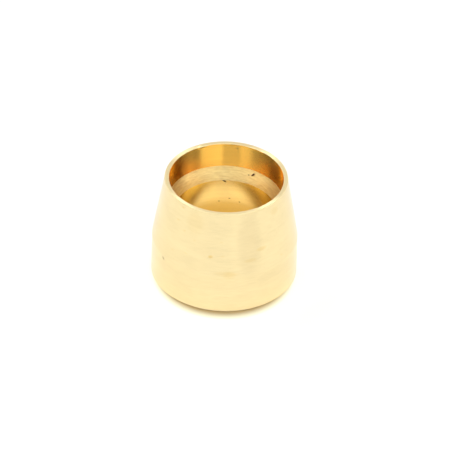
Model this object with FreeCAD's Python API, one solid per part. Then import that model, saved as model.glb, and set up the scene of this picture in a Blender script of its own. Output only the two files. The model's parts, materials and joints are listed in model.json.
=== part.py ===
"""Compression olive for a lined hose, turned from one piece of brass bar.

Millimetres. The origin is at the centre of the blunt base face, and +Z runs along the bore
towards the slim nose. The base stands on the ground.
"""

import FreeCAD
import Part

import math
import os

# Driving dimensions of the bore, from the nose inwards
LINER_BORE_DIAMETER = 10.0   # takes the hose's plastic liner
LINER_BORE_DEPTH = 2.5       # from the rim down to the conical seat
SEAT_STEP = 0.6              # how far the seat narrows the bore, on the radius
SEAT_HALF_ANGLE = 30.0       # of the conical seat, measured from the axis, in degrees

# Driving dimensions of the outside
RIM_WALL = 0.375             # flat land on the nose, around the liner bore
TAPER_LENGTH = 6.0           # along the axis, from the parallel land to the rim
TAPER_HALF_ANGLE = 9.25      # of the outside taper, measured from the axis, in degrees
LAND_LENGTH = 3.9            # parallel land above the base

# Edges
BASE_CHAMFER = 0.2           # around the outside of the base
SPIGOT_LEAD_IN = 0.4         # chamfer at the base end of the bore
RIM_EDGE_BREAK = 0.05        # both edges of the nose's flat land
TOOL_NOSE_RADIUS = 0.4       # left by the boring tool where the liner bore meets the seat

# Worked out from the driving dimensions
LINER_RADIUS = LINER_BORE_DIAMETER / 2
SPIGOT_RADIUS = LINER_RADIUS - SEAT_STEP
NOSE_RADIUS = LINER_RADIUS + RIM_WALL
LAND_RADIUS = NOSE_RADIUS + TAPER_LENGTH * math.tan(math.radians(TAPER_HALF_ANGLE))
OVERALL_LENGTH = LAND_LENGTH + TAPER_LENGTH
SEAT_TOP = OVERALL_LENGTH - LINER_BORE_DEPTH
SEAT_BOTTOM = SEAT_TOP - SEAT_STEP / math.tan(math.radians(SEAT_HALF_ANGLE))

# Corners of the half section, as radius and height
BASE_INNER = (SPIGOT_RADIUS, 0.0)
BASE_OUTER = (LAND_RADIUS, 0.0)
TAPER_START = (LAND_RADIUS, LAND_LENGTH)
RIM_OUTER = (NOSE_RADIUS, OVERALL_LENGTH)
RIM_INNER = (LINER_RADIUS, OVERALL_LENGTH)
SEAT_OUTER = (LINER_RADIUS, SEAT_TOP)
SEAT_INNER = (SPIGOT_RADIUS, SEAT_BOTTOM)

EDGE_TOLERANCE = 1e-6        # for finding an edge by its radius and height


def turned(corners):
    """Solid of revolution about Z whose half section has these corners, in order."""
    points = [FreeCAD.Vector(radius, 0, height) for radius, height in corners]
    outline = Part.makePolygon(points + points[:1])
    return Part.Face(outline).revolve(FreeCAD.Vector(0, 0, 0), FreeCAD.Vector(0, 0, 1), 360)


def edges_at(solid, *corners):
    """The circular edges that the section's corners trace round the solid."""
    found = []
    for radius, height in corners:
        for edge in solid.Edges:
            if not isinstance(edge.Curve, Part.Circle):
                continue
            same_radius = abs(edge.Curve.Radius - radius) < EDGE_TOLERANCE
            same_height = abs(edge.Curve.Center.z - height) < EDGE_TOLERANCE
            if same_radius and same_height:
                found.append(edge)
    if len(found) != len(corners):
        raise ValueError("each corner of the section should trace one edge")
    return found


def olive():
    """The whole olive: land, taper and rim outside, liner bore, seat and spigot bore inside."""
    ring = turned([BASE_INNER, BASE_OUTER, TAPER_START, RIM_OUTER, RIM_INNER, SEAT_OUTER, SEAT_INNER])
    ring = ring.makeFillet(TOOL_NOSE_RADIUS, edges_at(ring, SEAT_OUTER))
    ring = ring.makeChamfer(BASE_CHAMFER, edges_at(ring, BASE_OUTER))
    ring = ring.makeChamfer(SPIGOT_LEAD_IN, edges_at(ring, BASE_INNER))
    return ring.makeChamfer(RIM_EDGE_BREAK, edges_at(ring, RIM_OUTER, RIM_INNER))


def main():
    """Build the olive and write it as one file."""
    os.makedirs("parts", exist_ok=True)
    solid = olive()
    if not solid.isValid() or len(solid.Solids) != 1:
        raise ValueError("the olive should be one valid solid")
    solid.Solids[0].exportStep("parts/olive.step")
    print("outside diameter %.3f mm, length %.3f mm" % (2 * LAND_RADIUS, OVERALL_LENGTH))
    print("spigot bore %.3f mm, seat from z %.3f to %.3f mm" % (2 * SPIGOT_RADIUS, SEAT_BOTTOM, SEAT_TOP))
    print("volume %.2f cubic mm" % solid.Volume)


main()
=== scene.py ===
import json
import math
from collections import namedtuple

import bmesh
import bpy
from mathutils import Matrix, Vector, noise


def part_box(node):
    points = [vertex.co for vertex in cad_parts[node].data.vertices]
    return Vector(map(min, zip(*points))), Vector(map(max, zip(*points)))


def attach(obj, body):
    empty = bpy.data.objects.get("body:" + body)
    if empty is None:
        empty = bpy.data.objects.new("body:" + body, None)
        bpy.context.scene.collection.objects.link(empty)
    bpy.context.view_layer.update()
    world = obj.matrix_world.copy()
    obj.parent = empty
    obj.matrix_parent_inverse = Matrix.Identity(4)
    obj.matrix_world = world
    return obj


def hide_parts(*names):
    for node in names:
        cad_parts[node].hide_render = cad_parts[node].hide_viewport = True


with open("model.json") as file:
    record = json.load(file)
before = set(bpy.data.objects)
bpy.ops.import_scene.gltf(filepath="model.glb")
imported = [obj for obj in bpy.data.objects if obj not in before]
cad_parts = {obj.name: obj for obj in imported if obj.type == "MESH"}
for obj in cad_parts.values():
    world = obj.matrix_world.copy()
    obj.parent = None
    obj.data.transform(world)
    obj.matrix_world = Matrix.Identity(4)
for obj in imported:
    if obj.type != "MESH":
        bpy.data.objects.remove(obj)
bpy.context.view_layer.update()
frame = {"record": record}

bl_info = {
    "name": "Turned brass olive",
    "version": (1, 0, 0),
    "blender": (4, 5, 0),
    "location": "View3D > Sidebar > Olive",
    "description": "Dresses a compression olive in turned brass and stands it in a white light tent",
    "category": "Object",
}

MM = 0.001
MICRON = 0.000001
MOUNTS = {mount["name"]: mount for mount in frame["record"]["mounts"]}
BOX_LOW, BOX_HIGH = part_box("olive")

WHITE = (1.0, 1.0, 1.0)

# Share of red, green and blue that brass keeps where it is dullest
TARNISH = (0.66, 0.60, 0.48)

# Surfaces that the lathe leaves, in the order of the body's material slots
FINISHES = ("outside", "edge", "rim", "liner", "seat", "spigot", "base")

# How a lathe leaves one surface: its roughness, how far its grooves stretch a reflection, the length and
# pitch in millimetres of the broken tool marks, the marks' depth in microns, how much the marks and soft
# clouds dull the brass, and the share of the light that it mirrors and doesn't scatter
Look = namedtuple("Look", "roughness grooves dash pitch depth streak cloud shine", defaults=[1.0])

# A stain or a speck on a turned surface: turn from +X in degrees, height, half length and half height in
# millimetres, slant in degrees, and how strongly it shows
Mark = namedtuple("Mark", "turn height long tall slant strength")

# A nick in the rim's inner edge: turn and half width in degrees, depth and reach in millimetres
Nick = namedtuple("Nick", "turn spread depth reach")

# A chip of swarf on the seat: turn in degrees, height, length and width in millimetres, its heading in
# degrees from the way round, and how far its ends curl up, as a share of its length
Chip = namedtuple("Chip", "turn height long wide heading curl")

# A panel of the light tent: azimuth from the back towards the right and half width in degrees, lowest and
# highest elevation in degrees, soft edge in degrees, and the brightness that it adds
Panel = namedtuple("Panel", "azimuth spread low high edge level")

LOOKS = {
    "outside": Look(0.13, 1.0, 0.8, 0.12, 0.4, 0.12, 0.07),
    "edge": Look(0.50, 0.0, 1.0, 0.05, 0.4, 0.05, 0.05),
    "rim": Look(0.28, 1.0, 1.5, 0.06, 0.4, 0.05, 0.05),
    "liner": Look(0.13, 1.0, 3.0, 0.10, 0.3, 0.14, 0.06),
    "seat": Look(0.33, 0.6, 0.6, 0.15, 3.0, 0.45, 0.05, 0.8),
    "spigot": Look(0.15, 0.0, 4.0, 0.30, 0.4, 0.10, 0.06),
    "base": Look(0.30, 1.0, 1.5, 0.10, 0.5, 0.06, 0.05),
}

# Dried cutting oil on the outside; the last four are on the side that the photograph hides
STAINS = {
    "outside": (
        Mark(258.8, 5.71, 0.24, 0.16, 10, 0.42),
        Mark(302.6, 6.11, 0.60, 0.22, 2, 0.22),
        Mark(292.0, 5.25, 0.70, 0.20, 2, 0.14),
        Mark(227.8, 9.53, 0.16, 0.09, 0, 0.40),
        Mark(224.2, 8.16, 0.16, 0.08, 30, 0.35),
        Mark(232.6, 7.46, 0.10, 0.10, 0, 0.40),
        Mark(243.5, 6.91, 0.12, 0.07, 0, 0.35),
        Mark(267.4, 7.20, 0.10, 0.08, 0, 0.30),
        Mark(223.0, 5.08, 0.14, 0.07, 0, 0.30),
        Mark(236.6, 5.41, 0.14, 0.07, 0, 0.28),
        Mark(323.0, 4.56, 0.14, 0.08, 0, 0.30),
        Mark(268.7, 5.85, 0.11, 0.07, 0, 0.28),
        Mark(272.5, 4.12, 1.20, 0.28, -3, 0.13),
        Mark(274.5, 3.98, 0.60, 0.50, 0, 0.10),
        Mark(242.1, 8.60, 1.00, 1.20, 0, 0.10),
        Mark(320.6, 9.11, 0.60, 0.40, 0, 0.14),
        Mark(62.0, 6.40, 0.60, 0.12, -5, 0.20),
        Mark(88.0, 4.10, 0.60, 0.16, 4, 0.20),
        Mark(118.0, 8.30, 0.18, 0.10, 10, 0.30),
        Mark(140.0, 2.20, 0.16, 0.09, -20, 0.30),
    ),
}

# Dark specks; the wide faint ones are painted shade: a painted dark reflection down the taper and painted
# shade along the far rim
SPECKS_AND_SHADE = {
    "outside": (
        Mark(213.7, 3.62, 0.22, 0.13, -50, 0.55),
        Mark(193.3, 5.75, 0.09, 0.07, 0, 0.30),
        # Painted dark reflection: a wide faint band down the taper
        Mark(292.0, 6.90, 1.35, 3.60, 0, 0.10),
    ),
    "rim": (
        # Painted shade along the far rim
        Mark(90.0, 9.90, 6.00, 1.00, 0, 0.15),
    ),
    "liner": (
        Mark(79.8, 9.48, 0.12, 0.09, 0, 0.50),
        Mark(96.0, 7.95, 0.10, 0.04, 0, 0.25),
    ),
    "spigot": (
        Mark(97.7, 4.12, 0.09, 0.06, 0, 0.75),
        Mark(85.8, 4.41, 0.11, 0.07, 0, 0.60),
        Mark(74.1, 4.17, 0.10, 0.06, 20, 0.75),
    ),
}

NICKS = (
    Nick(116.5, 3.5, 0.07, 0.30),
    Nick(112.0, 1.6, 0.05, 0.22),
    Nick(66.0, 4.0, 0.035, 0.16),
    Nick(54.0, 2.2, 0.045, 0.18),
    Nick(38.0, 3.0, 0.035, 0.15),
    Nick(212.0, 2.5, 0.02, 0.12),
    Nick(305.0, 3.0, 0.02, 0.12),
)

CHIPS = (
    Chip(61.1, 7.16, 0.34, 0.16, 128, 0.25),
    Chip(65.8, 7.04, 0.13, 0.07, 170, 0.2),
    Chip(92.1, 6.30, 0.36, 0.10, 24, 0.2),
)

PANELS = (
    # High strip behind the olive, its dim middle, and a little light below that
    Panel(0, 90, 47, 58.5, 2, 3.5),
    Panel(0, 20, 47, 58.5, 3, -2.9),
    Panel(0, 18, -20, 47, 3, 0.12),
    # In front, from the top: a bright strip, a dark row, and a low bright row with two brighter parts
    Panel(180, 90, 46, 60, 3, 1.5),
    Panel(182, 98, 27, 46, 2, -0.7),
    Panel(182, 98, 18, 27, 2, 1.3),
    Panel(252, 27, 18, 27, 5, 0.5),
    Panel(98, 14, 18, 27, 5, 1.9),
    # A lighter part that reaches up into the low row, three dark gaps below it, and a tall one at the right
    Panel(151, 20, -20, 27, 4, 0.2),
    Panel(188, 16, -20, 18, 5, -0.65),
    Panel(252, 27, -20, 18, 7, -0.6),
    Panel(107, 23, -20, 18, 6, -0.55),
    Panel(68, 16, -20, 47, 10, -0.6),
)


def mount_radius(name):
    """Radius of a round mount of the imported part, in metres."""
    return MOUNTS[name]["dims"]["r_mm"] * MM


def size(name, description, default):
    """A length in metres that a user may change."""
    return bpy.props.FloatProperty(
        name=name, description=description, default=default, min=0.0, unit="LENGTH", precision=5)


def turn(name, description, degrees):
    """An angle that a user may change, given here in degrees."""
    return bpy.props.FloatProperty(
        name=name, description=description, default=math.radians(degrees), subtype="ANGLE")


def level(name, description, default):
    """A brightness that a user may change, where 1 is white."""
    return bpy.props.FloatProperty(name=name, description=description, default=default, min=0.0)


def colour(name, description, default):
    """A linear colour that a user may change."""
    return bpy.props.FloatVectorProperty(
        name=name, description=description, default=default, size=3, min=0.0, max=1.0, subtype="COLOR")


class OliveSizes(bpy.types.PropertyGroup):
    """The turned section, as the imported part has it, and its finest details."""

    length: size("Length", "From the base face to the rim", BOX_HIGH.z - BOX_LOW.z)
    land_radius: size("Land radius", "Outside of the parallel land", mount_radius("outer_land"))
    land_length: size("Land length", "From the base face to the taper", 3.9 * MM)
    rim_wall: size("Rim wall", "Width of the flat rim", 0.375 * MM)
    liner_radius: size("Liner bore radius", "Wide bore behind the rim", mount_radius("liner_bore"))
    liner_depth: size("Liner bore depth", "From the rim down to the seat", 2.5 * MM)
    seat_angle: turn("Seat half angle", "Conical seat, measured from the axis", 30.0)
    spigot_radius: size("Spigot bore radius", "Narrow bore below the seat", mount_radius("spigot_bore"))
    base_chamfer: size("Base chamfer", "Around the outside of the base", 0.2 * MM)
    lead_in: size("Lead-in", "Chamfer at the base end of the bore", 0.4 * MM)
    edge_break: size("Edge break", "Rounding of both rim edges", 0.05 * MM)
    tool_nose: size("Tool nose radius", "Corner between the liner bore and the seat", 0.4 * MM)
    burr: size("Burr", "How far the rim's inner edge wanders", 0.008 * MM)
    feed: size("Feed", "Pitch of the boring tool's grooves in the liner bore", 0.06 * MM)
    lean: turn("Groove lean", "How far the grooves face up towards the mouth", 27.0)
    chip_thickness: size("Chip thickness", "Thickness of a chip of swarf", 0.03 * MM)
    segments: bpy.props.IntProperty(
        name="Segments", description="Facets round the body", default=640, min=64, max=720)


class BrassFinish(bpy.types.PropertyGroup):
    """Colours of the brass, of its shaded and lit copies painted on the inner surfaces, and of what marks
    it.
    """

    brass: colour("Brass", "Clean turned brass outside", (0.97, 0.80, 0.45))
    # Painted shade in the liner and spigot bores and painted light on the seat: darker and paler copies of
    # the one brass
    liner_brass_painted_shade: colour("Liner bore brass", "Deepest tone, in the grooved bore", (0.80, 0.45, 0.08))
    seat_brass_painted_light: colour("Seat brass", "Pale tone of the coarsely cut seat", (1.00, 0.86, 0.41))
    spigot_brass_painted_shade: colour("Spigot bore brass", "Tone of the narrow bore", (0.92, 0.73, 0.30))
    stain: colour("Stain", "Old cutting oil dried on the brass", (0.80, 0.50, 0.08))
    # The speck colour also paints the wide faint bands of painted shade
    speck_and_shade: colour("Speck", "Dirt and burnt oil", (0.33, 0.17, 0.04))
    swarf: colour("Swarf", "Burnt chips left on the seat", (0.10, 0.05, 0.015))


class StageSettings(bpy.types.PropertyGroup):
    """Floor, light tent and camera."""

    elevation: turn("Camera elevation", "Above the horizon", 36.72)
    roll: turn("Camera roll", "Counterclockwise turn of the camera", 1.713)
    distance: size("Camera distance", "From the point that the camera looks at", 1058.0 * MM)
    frame_width: size("Frame width", "Width of the picture at the camera's distance", 39.27 * MM)
    aim_height: size("Aim height", "Height of the point that the camera looks at", 4.771 * MM)
    floor_tone: level("Floor", "Brightness of the matt floor", 0.75)
    floor_lift: level("Floor lift", "Extra whiteness where the floor is seen directly or in metal", 0.18)
    pool_lift: level("Pool lift", "Extra whiteness where light falls through the bore", 0.37)
    bore_lift: level("Bore lift", "Warm light on the rest of the floor inside the bore", 0.9)
    glow_lift: level("Glow lift", "Extra whiteness that the brass throws round its foot", 0.11)
    shadow_tone: colour("Shadow", "Floor at the foot, warmed by the brass", (0.48, 0.385, 0.22))
    shadow_shift: size("Shadow shift", "How far the foot's shadow lies forward of the axis", 1.2 * MM)
    tent_tone: level("Tent", "Brightness of the tent's walls", 0.8)


class Wire:
    """A shader socket that takes part in Python arithmetic: each operation adds one Math node."""

    def __init__(self, bench, socket):
        self.bench = bench
        self.socket = socket

    def pick(self, name):
        """Another output of the same node."""
        return Wire(self.bench, self.socket.node.outputs[name])

    def __add__(self, other):
        return self.bench.maths("ADD", self, other)

    def __radd__(self, other):
        return self.bench.maths("ADD", other, self)

    def __sub__(self, other):
        return self.bench.maths("SUBTRACT", self, other)

    def __rsub__(self, other):
        return self.bench.maths("SUBTRACT", other, self)

    def __mul__(self, other):
        return self.bench.maths("MULTIPLY", self, other)

    def __rmul__(self, other):
        return self.bench.maths("MULTIPLY", other, self)

    def __truediv__(self, other):
        return self.bench.maths("DIVIDE", self, other)

    def __abs__(self):
        return self.bench.maths("ABSOLUTE", self)


class Bench:
    """Adds nodes to one shader tree."""

    def __init__(self, tree):
        self.tree = tree
        self.tree.nodes.clear()

    def add(self, kind, settings=None, inputs=None, output=0):
        """A node of this kind with its settings, then its sockets' values or links; gives one output."""
        node = self.tree.nodes.new(kind)
        for name, value in (settings or {}).items():
            setattr(node, name, value)
        for name, value in (inputs or {}).items():
            self.plug(value, node.inputs[name])
        return Wire(self, node.outputs[output]) if len(node.outputs) else node

    def plug(self, value, socket):
        """Link a wire to a socket, or set the socket's own value."""
        if isinstance(value, Wire):
            self.tree.links.new(value.socket, socket)
        else:
            socket.default_value = value

    def maths(self, operation, *values):
        """One Math node on these values."""
        return self.add("ShaderNodeMath", {"operation": operation}, dict(enumerate(values)))

    def ramp(self, value, low, high):
        """A smooth step from 0 at low to 1 at high."""
        inputs = {"Value": value, "From Min": low, "From Max": high}
        return self.add("ShaderNodeMapRange", {"interpolation_type": "SMOOTHSTEP"}, inputs)

    def mix(self, factor, first, second):
        """A colour between first and second."""
        inputs = {0: factor, 6: first, 7: second}
        return self.add("ShaderNodeMix", {"data_type": "RGBA"}, inputs, output=2)

    def blend(self, shares, first, second):
        """A vector between first and second, by a share of its own for each channel."""
        settings = {"data_type": "VECTOR", "factor_mode": "NON_UNIFORM"}
        return self.add("ShaderNodeMix", settings, {1: shares, 4: first, 5: second}, output=1)

    def scaled(self, vector, factor):
        """A vector made longer or shorter."""
        return self.add("ShaderNodeVectorMath", {"operation": "SCALE"}, {0: vector, "Scale": factor})

    def noise(self, point, scale, detail):
        """Soft noise from 0 to 1 about a half."""
        return self.add("ShaderNodeTexNoise", inputs={"Vector": point, "Scale": scale, "Detail": detail})


class LathePlace:
    """Where a shaded point is on the turned body, in millimetres and in degrees from +X."""

    def __init__(self, bench):
        self.bench = bench
        point = bench.add("ShaderNodeTexCoord", output="Object")
        x = bench.add("ShaderNodeSeparateXYZ", inputs={"Vector": point}, output="X")
        y = x.pick("Y")
        self.x = x / MM
        self.y = y / MM
        self.radius = self.away_from(0.0, 0.0)
        self.turn = bench.maths("ARCTAN2", 0 - y, 0 - x) * math.degrees(1) + 180
        self.height = x.pick("Z") / MM

    def away_from(self, x, y):
        """Level distance from the upright line through this x and y."""
        aside = self.x - x
        along = self.y - y
        return self.bench.maths("SQRT", aside * aside + along * along)

    def grain(self, dash, pitch):
        """A point for noise whose features lie round the axis, with this length and pitch."""
        nominal_radius = 5.0
        across = (self.height + self.radius) / pitch
        reach = nominal_radius / dash
        inputs = {"X": self.x / self.radius * reach, "Y": self.y / self.radius * reach, "Z": across}
        return self.bench.add("ShaderNodeCombineXYZ", inputs=inputs)


def opaque(linear_colour):
    """A colour socket's four values."""
    return (*linear_colour, 1.0)


def tarnished(linear_colour):
    """The colour of the same brass where it is dullest."""
    return opaque(channel * share for channel, share in zip(linear_colour, TARNISH))


def toned(linear_colour, factor):
    """The colour made lighter or darker."""
    return opaque(min(1.0, channel * factor) for channel in linear_colour)


def stretch(start, end, steps):
    """Evenly spaced points from start to end, both included."""
    (r0, z0), (r1, z1) = start, end
    return [(r0 + (r1 - r0) * i / steps, z0 + (z1 - z0) * i / steps) for i in range(steps + 1)]


def rounded(before, corner, after, radius, steps):
    """Points of an arc of this radius that rounds a corner of the section."""
    corner = Vector(corner)
    to_before = (Vector(before) - corner).normalized()
    to_after = (Vector(after) - corner).normalized()
    half = to_before.angle(to_after) / 2
    centre = corner + (to_before + to_after).normalized() * (radius / math.sin(half))
    start = corner + to_before * (radius / math.tan(half)) - centre
    end = corner + to_after * (radius / math.tan(half)) - centre
    sweep = start.angle_signed(end)
    points = []
    for i in range(steps + 1):
        spoke = start.copy()
        spoke.rotate(Matrix.Rotation(-sweep * i / steps, 2))
        points.append(tuple(centre + spoke))
    return points


def seat_bottom(sizes):
    """Height of the seat's lower edge."""
    step = sizes.liner_radius - sizes.spigot_radius
    return sizes.length - sizes.liner_depth - step / math.tan(sizes.seat_angle)


def bored_grooves(finish, crests, sizes):
    """Stretches of fine grooves between these crests, whose broad sides face up towards the mouth."""
    broad_share = 0.8
    sides = []
    for crest, next_crest in zip(crests, crests[1:]):
        rise = broad_share * (crest[1] - next_crest[1])
        root = (next_crest[0] + rise * math.tan(sizes.lean), next_crest[1] + rise)
        sides.append((finish, [crest, root]))
        sides.append((finish, [root, next_crest]))
    return sides


def half_section(sizes):
    """The section's stretches in order round it, each with its finish and its (radius, height) points."""
    base_inner = (sizes.spigot_radius + sizes.lead_in, 0.0)
    base_outer = (sizes.land_radius - sizes.base_chamfer, 0.0)
    land_foot = (sizes.land_radius, sizes.base_chamfer)
    taper_start = (sizes.land_radius, sizes.land_length)
    rim_outer = (sizes.liner_radius + sizes.rim_wall, sizes.length)
    rim_inner = (sizes.liner_radius, sizes.length)
    seat_outer = (sizes.liner_radius, sizes.length - sizes.liner_depth)
    seat_inner = (sizes.spigot_radius, seat_bottom(sizes))
    bore_foot = (sizes.spigot_radius, sizes.lead_in)
    outer_edge = rounded(taper_start, rim_outer, rim_inner, sizes.edge_break, steps=4)
    inner_edge = rounded(rim_outer, rim_inner, seat_outer, sizes.edge_break, steps=4)
    corner = rounded(rim_inner, seat_outer, seat_inner, sizes.tool_nose, steps=4)
    grooves = round((inner_edge[-1][1] - corner[0][1]) / sizes.feed)
    return [
        ("base", stretch(base_inner, base_outer, steps=2)),
        ("outside", stretch(base_outer, land_foot, steps=2)),
        ("outside", stretch(land_foot, taper_start, steps=4)),
        ("outside", stretch(taper_start, outer_edge[0], steps=6)),
        ("edge", outer_edge),
        ("rim", stretch(outer_edge[-1], inner_edge[0], steps=6)),
        ("edge", inner_edge),
        *bored_grooves("liner", stretch(inner_edge[-1], corner[0], grooves), sizes),
        *bored_grooves("seat", corner, sizes),
        ("seat", stretch(corner[-1], seat_inner, steps=4)),
        ("spigot", stretch(seat_inner, bore_foot, steps=6)),
        ("base", stretch(bore_foot, base_inner, steps=2)),
    ]


def nicked(radius, height, angle, sizes):
    """A section point moved by the nicks and the burr of the rim's inner edge."""
    outward_share = 0.6
    waves_round = 40.0
    burr_reach = 3 * sizes.edge_break
    from_edge = math.hypot(radius - sizes.liner_radius, height - sizes.length)
    sunk = 0.0
    for nick in NICKS:
        away = math.remainder(math.degrees(angle) - nick.turn, 360.0) / nick.spread
        near = max(0.0, 1.0 - from_edge / (nick.reach * MM))
        sunk += nick.depth * MM * near * near * math.exp(-away * away)
    wander = noise.noise(Vector((math.cos(angle), math.sin(angle), 0.0)) * waves_round)
    near = max(0.0, 1.0 - from_edge / burr_reach)
    sunk += sizes.burr * wander * near
    return radius + outward_share * sunk, height - max(0.0, sunk)


def turned_mesh(name, sizes):
    """Mesh of the whole body: the half section carried round the axis, sharp where stretches meet."""
    build = bmesh.new()
    angles = [2 * math.pi * i / sizes.segments for i in range(sizes.segments)]
    rings = []
    for finish, points in half_section(sizes):
        for i, point in enumerate(points[:-1]):
            ring = []
            for angle in angles:
                radius, height = nicked(*point, angle, sizes)
                ring.append(build.verts.new((radius * math.cos(angle), radius * math.sin(angle), height)))
            rings.append((ring, finish, i == 0))
    for (ring, finish, _), (above, _, _) in zip(rings, rings[1:] + rings[:1]):
        for i in range(sizes.segments):
            j = (i + 1) % sizes.segments
            face = build.faces.new((ring[i], ring[j], above[j], above[i]))
            face.material_index = FINISHES.index(finish)
            face.smooth = True
    for ring, _, sharp in rings:
        for i in range(sizes.segments):
            build.edges.get((ring[i], ring[i - 1])).smooth = not sharp
    bmesh.ops.recalc_face_normals(build, faces=build.faces)
    mesh = bpy.data.meshes.new(name)
    build.to_mesh(mesh)
    build.free()
    return mesh


def blot(bench, place, mark, arc):
    """How much one mark covers a point, from 0 to its strength, where arc is the length of one degree."""
    core = 0.1
    faded = 1.3
    lean = math.radians(mark.slant)
    round_way = (place.turn - mark.turn) * arc
    up = place.height - mark.height
    along = (round_way * math.cos(lean) + up * math.sin(lean)) / mark.long
    across = (up * math.cos(lean) - round_way * math.sin(lean)) / mark.tall
    return mark.strength * (1 - bench.ramp(along * along + across * across, core, faded))


def turned_brass(surface_name, brass, finish, arc):
    """Brass with fine grooves round the axis, broken tool marks, soft clouds, stains, specks and painted
    shade.
    """
    cloud_length = 2.5
    cloud_height = 0.8
    cloud_range = (0.3, 0.7)
    mark_range = (0.25, 0.75)
    cloud_roughness = 0.3
    quarter_turn = 0.25
    look = LOOKS[surface_name]
    material = bpy.data.materials.new("brass_" + surface_name)
    material.use_nodes = True
    bench = Bench(material.node_tree)
    place = LathePlace(bench)
    cloud_noise = bench.noise(place.grain(cloud_length, cloud_height), scale=1.0, detail=3.0)
    mark_noise = bench.noise(place.grain(look.dash, look.pitch), scale=1.0, detail=2.0)
    clouds = bench.ramp(cloud_noise, *cloud_range)
    tool_marks = bench.ramp(mark_noise, *mark_range)
    dulled = clouds * look.cloud + tool_marks * look.streak
    tone = bench.mix(dulled, opaque(brass), tarnished(brass))
    # Stains and specks, and the painted shade bands that the specks table holds
    for marks, dirt_and_shade in ((STAINS, finish.stain), (SPECKS_AND_SHADE, finish.speck_and_shade)):
        if surface_name in marks:
            covered = sum(blot(bench, place, mark, arc) for mark in marks[surface_name])
            tone = bench.mix(covered, tone, opaque(dirt_and_shade))
    relief = bench.add("ShaderNodeBump", inputs={"Distance": MICRON, "Height": tool_marks * look.depth})
    surface = bench.add("ShaderNodeBsdfPrincipled", inputs={
        "Base Color": tone,
        "Metallic": look.shine,
        "Roughness": look.roughness + clouds * look.cloud * cloud_roughness,
        "Anisotropic": look.grooves,
        "Anisotropic Rotation": quarter_turn,
        "Normal": relief,
    })
    bench.add("ShaderNodeOutputMaterial", inputs={"Surface": surface})
    return material


class OLIVE_OT_body(bpy.types.Operator):
    """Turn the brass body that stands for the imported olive"""

    bl_idname = "olive.body"
    bl_label = "Turned body"

    def execute(self, context):
        sizes = context.scene.olive_sizes
        finish = context.scene.olive_finish
        body = bpy.data.objects.new("turned_olive", turned_mesh("turned_olive", sizes))
        context.scene.collection.objects.link(body)
        # The bores take the painted-shade tones of the brass, and the seat its painted-light tone
        lit_and_shaded_tones = {"liner": finish.liner_brass_painted_shade, "seat": finish.seat_brass_painted_light, "spigot": finish.spigot_brass_painted_shade}
        radii = {"liner": sizes.liner_radius, "seat": sizes.liner_radius, "spigot": sizes.spigot_radius}
        for surface in FINISHES:
            brass = lit_and_shaded_tones.get(surface, finish.brass)
            arc = math.radians(1) * radii.get(surface, sizes.land_radius) / MM
            body.data.materials.append(turned_brass(surface, brass, finish, arc))
        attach(body, "root")
        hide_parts("olive")
        return {"FINISHED"}


def add_chip(build, chip, sizes):
    """One bent, tapered flake that lies on the seat."""
    angle = math.radians(chip.turn)
    outward = Vector((math.cos(angle), math.sin(angle), 0.0))
    round_way = Vector((-math.sin(angle), math.cos(angle), 0.0))
    up = Vector((0.0, 0.0, 1.0))
    up_slope = outward * math.sin(sizes.seat_angle) + up * math.cos(sizes.seat_angle)
    normal = up * math.sin(sizes.seat_angle) - outward * math.cos(sizes.seat_angle)
    height = chip.height * MM
    radius = sizes.spigot_radius + (height - seat_bottom(sizes)) * math.tan(sizes.seat_angle)
    heading = math.radians(chip.heading)
    ahead = round_way * math.cos(heading) + up_slope * math.sin(heading)
    aside = normal.cross(ahead)
    seat_point = outward * radius + up * height + normal * sizes.chip_thickness
    stations = 9
    first_fullness = 0.12
    fullness_span = 0.8
    rows = []
    for i in range(stations):
        share = i / (stations - 1)
        offset = 2 * share - 1
        centre = seat_point + ahead * (offset * chip.long * MM / 2)
        centre += normal * (chip.curl * chip.long * MM * offset * offset)
        fullness = math.sin(math.pi * (first_fullness + fullness_span * share))
        half_width = aside * (chip.wide * MM / 2 * fullness)
        half_thick = normal * (sizes.chip_thickness / 2)
        left, right = centre + half_width, centre - half_width
        corners = (left + half_thick, right + half_thick, right - half_thick, left - half_thick)
        rows.append([build.verts.new(corner) for corner in corners])
    for row, ahead_row in zip(rows, rows[1:]):
        for i in range(4):
            j = (i + 1) % 4
            build.faces.new((row[i], row[j], ahead_row[j], ahead_row[i]))
    build.faces.new(rows[0][::-1])
    build.faces.new(rows[-1])


def burnt_swarf(swarf):
    """Dark, dull chips with a little bronze in them."""
    patches_per_mm = 20
    darkest = 0.4
    lightest = 1.6
    smoothest = 0.35
    roughness_span = 0.3
    material = bpy.data.materials.new("burnt_swarf")
    material.use_nodes = True
    bench = Bench(material.node_tree)
    point = bench.add("ShaderNodeTexCoord", output="Object")
    patches = bench.noise(point, scale=patches_per_mm / MM, detail=2.0)
    surface = bench.add("ShaderNodeBsdfPrincipled", inputs={
        "Base Color": bench.mix(patches, toned(swarf, darkest), toned(swarf, lightest)),
        "Metallic": 0.6,
        "Roughness": smoothest + patches * roughness_span,
    })
    bench.add("ShaderNodeOutputMaterial", inputs={"Surface": surface})
    return material


class OLIVE_OT_swarf(bpy.types.Operator):
    """Drop the burnt chips that lie on the seat"""

    bl_idname = "olive.swarf"
    bl_label = "Swarf on the seat"

    def execute(self, context):
        sizes = context.scene.olive_sizes
        build = bmesh.new()
        for chip in CHIPS:
            add_chip(build, chip, sizes)
        bmesh.ops.recalc_face_normals(build, faces=build.faces)
        mesh = bpy.data.meshes.new("swarf_chips")
        build.to_mesh(mesh)
        build.free()
        chips = bpy.data.objects.new("swarf_chips", mesh)
        chips.data.materials.append(burnt_swarf(context.scene.olive_finish.swarf))
        context.scene.collection.objects.link(chips)
        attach(chips, "root")
        return {"FINISHED"}


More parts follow.
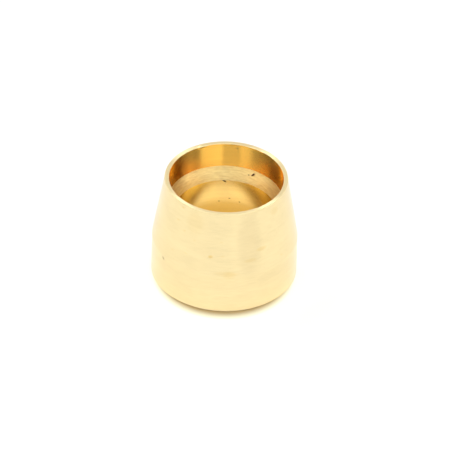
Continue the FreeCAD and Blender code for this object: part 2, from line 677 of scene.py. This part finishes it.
def panel_light(bench, azimuth, elevation, panel):
    """Brightness that one panel adds in a direction."""
    aside = abs(bench.maths("WRAP", azimuth - panel.azimuth, 180.0, -180.0))
    within = 1 - bench.ramp(aside, panel.spread - panel.edge, panel.spread + panel.edge)
    above = bench.ramp(elevation, panel.low - panel.edge, panel.low + panel.edge)
    below = 1 - bench.ramp(elevation, panel.high - panel.edge, panel.high + panel.edge)
    return panel.level * within * above * below


def tent_world(scene, stage):
    """White light tent: even walls, with brighter and darker soft panels."""
    world = bpy.data.worlds.new("light_tent")
    world.use_nodes = True
    scene.world = world
    bench = Bench(world.node_tree)
    direction = bench.add("ShaderNodeTexCoord", output="Generated")
    x = bench.add("ShaderNodeSeparateXYZ", inputs={"Vector": direction}, output="X")
    azimuth = bench.maths("ARCTAN2", x, x.pick("Y")) * math.degrees(1)
    elevation = bench.maths("ARCSINE", x.pick("Z")) * math.degrees(1)
    walls = stage.tent_tone + sum(panel_light(bench, azimuth, elevation, panel) for panel in PANELS)
    tent = bench.add("ShaderNodeBackground", inputs={"Color": opaque(WHITE), "Strength": walls})
    bench.add("ShaderNodeOutputWorld", inputs={"Surface": tent})


def white_floor(stage, sizes):
    """Floor paint: matt white, lifted where the camera or metal sees it, with a warm shadow at the foot."""
    # Where the shadow ends for red, green and blue, in millimetres ahead of the foot
    shadow_fades = {"X": (-0.1, 0.95), "Y": (-0.05, 0.95), "Z": (-0.05, 1.2)}
    material = bpy.data.materials.new("white_floor")
    material.use_nodes = True
    bench = Bench(material.node_tree)
    place = LathePlace(bench)
    foot = sizes.land_radius / MM
    bore = sizes.spigot_radius / MM
    # Light falls through the bore a little to one side of the axis, and fades towards the wall
    light_x = 0.3
    light_y = -0.4
    light_full = 0.65 * bore
    # The pool of light is a ring: a disc behind the axis stays out of it
    disc_y = bore / 3
    disc_radius = 0.45 * bore
    ring_radius = 0.75 * bore
    # Share of the bore's warm light that is left at its wall
    wall_share = 0.2
    glow_end = 2 * foot
    equal_within = 0.5
    path = bench.add("ShaderNodeLightPath", output="Is Camera Ray")
    mirrored = bench.maths("MAXIMUM", path.pick("Is Glossy Ray"), path.pick("Is Transmission Ray"))
    ahead = place.away_from(0.0, -stage.shadow_shift / MM) - (foot - stage.shadow_shift / MM)
    outside = bench.maths("GREATER_THAN", place.radius, bore + sizes.lead_in / MM)
    middle = 1 - bench.ramp(place.away_from(light_x, light_y), light_full, bore)
    pool = mirrored * middle * bench.ramp(place.away_from(0.0, disc_y), disc_radius, ring_radius)
    around = outside * (1 - bench.ramp(place.radius, foot, glow_end))
    # The bore's own light shows only in metal, and the foot's shadow only directly
    plain = bench.maths("MAXIMUM", pool, bench.maths("COMPARE", mirrored, outside, equal_within))
    clear = bench.add("ShaderNodeCombineXYZ", inputs={
        channel: bench.maths("MAXIMUM", plain, bench.ramp(ahead, near, far))
        for channel, (near, far) in shadow_fades.items()})
    tone = bench.blend(clear, stage.shadow_tone, (stage.floor_tone,) * 3)
    strength = stage.floor_lift + pool * stage.pool_lift + around * stage.glow_lift
    warm_share = wall_share + (1 - wall_share) * middle
    warm = bench.scaled(stage.shadow_tone, (1 - outside) * warm_share * stage.bore_lift)
    lift = bench.blend(clear, warm, bench.scaled(WHITE, strength))
    matt = {"Base Color": tone, "Roughness": 1.0, "Specular IOR Level": 0.0}
    shaded = bench.add("ShaderNodeBsdfPrincipled", inputs=matt)
    lifted = bench.add("ShaderNodeBsdfPrincipled", inputs={
        **matt, "Emission Color": lift, "Emission Strength": 1.0})
    seen = bench.maths("MAXIMUM", path, mirrored)
    paint = bench.add("ShaderNodeMixShader", inputs={0: seen, 1: shaded, 2: lifted})
    bench.add("ShaderNodeOutputMaterial", inputs={"Surface": paint})
    return material


class OLIVE_OT_stage(bpy.types.Operator):
    """Lay the white floor, hang the light tent and place the camera"""

    bl_idname = "olive.stage"
    bl_label = "Floor, light and camera"

    def execute(self, context):
        scene = context.scene
        stage = scene.olive_stage
        floor_half = 3.0
        floor_gap = 0.005 * MM
        corners = [(x, y, -floor_gap) for x, y in ((-1, -1), (1, -1), (1, 1), (-1, 1))]
        mesh = bpy.data.meshes.new("floor")
        mesh.from_pydata([(x * floor_half, y * floor_half, z) for x, y, z in corners], [], [(0, 1, 2, 3)])
        floor = bpy.data.objects.new("floor", mesh)
        floor.data.materials.append(white_floor(stage, scene.olive_sizes))
        scene.collection.objects.link(floor)
        tent_world(scene, stage)

        camera = bpy.data.cameras.new("camera")
        camera.sensor_width = 36.0
        camera.lens = camera.sensor_width * stage.distance / stage.frame_width
        camera.clip_start = 0.01
        camera.clip_end = 100.0
        holder = bpy.data.objects.new("camera", camera)
        scene.collection.objects.link(holder)
        tilt = Matrix.Rotation(math.pi / 2 - stage.elevation, 4, "X")
        facing = tilt @ Matrix.Rotation(stage.roll, 4, "Z")
        offset = facing @ Vector((0, 0, stage.distance))
        holder.matrix_world = Matrix.Translation(Vector((0, 0, stage.aim_height)) + offset) @ facing
        scene.camera = holder
        scene.view_settings.view_transform = "Standard"
        scene.cycles.max_bounces = 24
        scene.cycles.glossy_bounces = 24
        scene.cycles.blur_glossy = 0.0
        return {"FINISHED"}


OPERATORS = (OLIVE_OT_body, OLIVE_OT_swarf, OLIVE_OT_stage)
GROUPS = {"olive_sizes": OliveSizes, "olive_finish": BrassFinish, "olive_stage": StageSettings}


class OLIVE_PT_sidebar(bpy.types.Panel):
    """Sizes, finish, stage and the operators that use them"""

    bl_idname = "OLIVE_PT_sidebar"
    bl_label = "Brass olive"
    bl_space_type = "VIEW_3D"
    bl_region_type = "UI"
    bl_category = "Olive"

    def draw(self, context):
        for group in GROUPS:
            settings = getattr(context.scene, group)
            box = self.layout.box()
            for name in settings.__annotations__:
                box.prop(settings, name)
        for operator in OPERATORS:
            self.layout.operator(operator.bl_idname)


CLASSES = (*GROUPS.values(), *OPERATORS, OLIVE_PT_sidebar)


def register():
    """Register the classes and hang their settings on the scene."""
    for cls in CLASSES:
        bpy.utils.register_class(cls)
    for name, group in GROUPS.items():
        setattr(bpy.types.Scene, name, bpy.props.PointerProperty(type=group))


def unregister():
    """Take the settings off the scene and unregister the classes."""
    for name in GROUPS:
        delattr(bpy.types.Scene, name)
    for cls in reversed(CLASSES):
        bpy.utils.unregister_class(cls)


def main():
    """Build the dressed olive on its stage."""
    register()
    bpy.ops.olive.body()
    bpy.ops.olive.swarf()
    bpy.ops.olive.stage()


if __name__ == "__main__":
    main()
